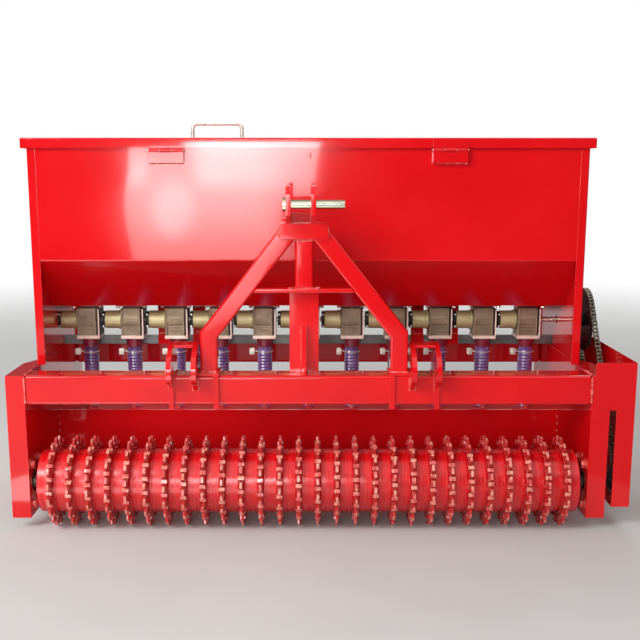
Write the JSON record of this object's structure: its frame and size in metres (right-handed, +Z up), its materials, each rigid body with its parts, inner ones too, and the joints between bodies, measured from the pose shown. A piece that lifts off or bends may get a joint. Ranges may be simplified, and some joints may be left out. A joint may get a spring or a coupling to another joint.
{
  "type": "double roller seed drill",
  "caption": "Tractor-mounted seed drill: toothed ring roller in front, seed hopper with fluted metering units and drop tubes, ring roller behind, chain-driven feed shaft.",
  "frame": {"origin": "on the ground under the middle of the whole machine's outline", "axes": "+X across the machine towards the chain drive, +Y from the tractor side to the rear, +Z up"},
  "size_m": [1.79, 0.8619, 1.188],
  "materials": {
    "red_paint": "glossy red enamel",
    "worn_red": "glossy red enamel rubbed pale on the teeth",
    "plated_steel": "bright zinc plate",
    "yellow_zinc": "yellow passivated zinc",
    "cast_housing": "rough grey-brown casting",
    "dark_steel": "dark oiled steel",
    "chain_steel": "oiled chain steel",
    "grey_bar": "dull grey",
    "tube_plastic": "blue-violet translucent hose",
    "funnel_plastic": "dull dark red plastic"
  },
  "bodies": {
    "frame": {"front_beam": "red_paint", "rear_beam": "red_paint", "side_frame_left": "red_paint", "side_frame_right": "red_paint", "roller_shield": "red_paint", "end_plate_left": "red_paint", "end_plate_right": "red_paint", "hopper_front": "red_paint", "hopper_rear": "red_paint", "hopper_floor": "red_paint", "mast_arms": "red_paint", "mast_head": "red_paint", "mast_post_upper": "red_paint", "mast_post_lower": "red_paint", "mast_brace": "red_paint", "mast_feet": "red_paint", "lower_ears_left": "red_paint", "lower_ears_right": "red_paint", "tube_guide": "red_paint", "spout_brackets": "red_paint", "chain_guard": "red_paint", "hopper_leaves": "red_paint", "top_link_pin": "plated_steel", "tube_clamps": "plated_steel", "hinge_pins": "plated_steel", "meter_sleeves": "yellow_zinc", "meter_housings": "cast_housing", "seed_funnels": "funnel_plastic", "drop_tubes": "tube_plastic", "spout_bar": "grey_bar", "feed_bearings": "dark_steel", "front_bearings": "dark_steel", "rear_bearings": "dark_steel", "drive_chain": "chain_steel"},
    "front_roller": {"front_drum": "red_paint", "front_rings": "worn_red", "front_shaft": "plated_steel", "drive_sprocket": "dark_steel"},
    "rear_roller": {"rear_drum": "red_paint", "rear_rings": "worn_red", "rear_shaft": "plated_steel"},
    "feed": {"feed_shaft": "plated_steel", "feed_sprocket": "dark_steel"},
    "lid": {"lid": "red_paint", "lid_handle": "plated_steel", "lid_leaves": "red_paint"}
  },
  "joints": [
    {"name": "front_roller_spin", "type": "hinge", "parent": "frame", "child": "front_roller", "pos_m": [0, -0.3, 0.131], "axis": [1, 0, 0], "continuous": true},
    {"name": "rear_roller_spin", "type": "hinge", "parent": "frame", "child": "rear_roller", "pos_m": [0, 0.3, 0.131], "axis": [1, 0, 0], "continuous": true},
    {"name": "feed_spin", "type": "hinge", "parent": "frame", "child": "feed", "pos_m": [0, 0.082, 0.553], "axis": [1, 0, 0], "continuous": true},
    {"name": "lid_hinge", "type": "hinge", "parent": "frame", "child": "lid", "pos_m": [0, -0.211, 1.086], "axis": [1, 0, 0], "range_deg": [0, 100]}
  ],
  "couplings": [
    {"joint": "feed_spin", "follows": "front_roller_spin", "ratio": 0.33333}
  ]
}
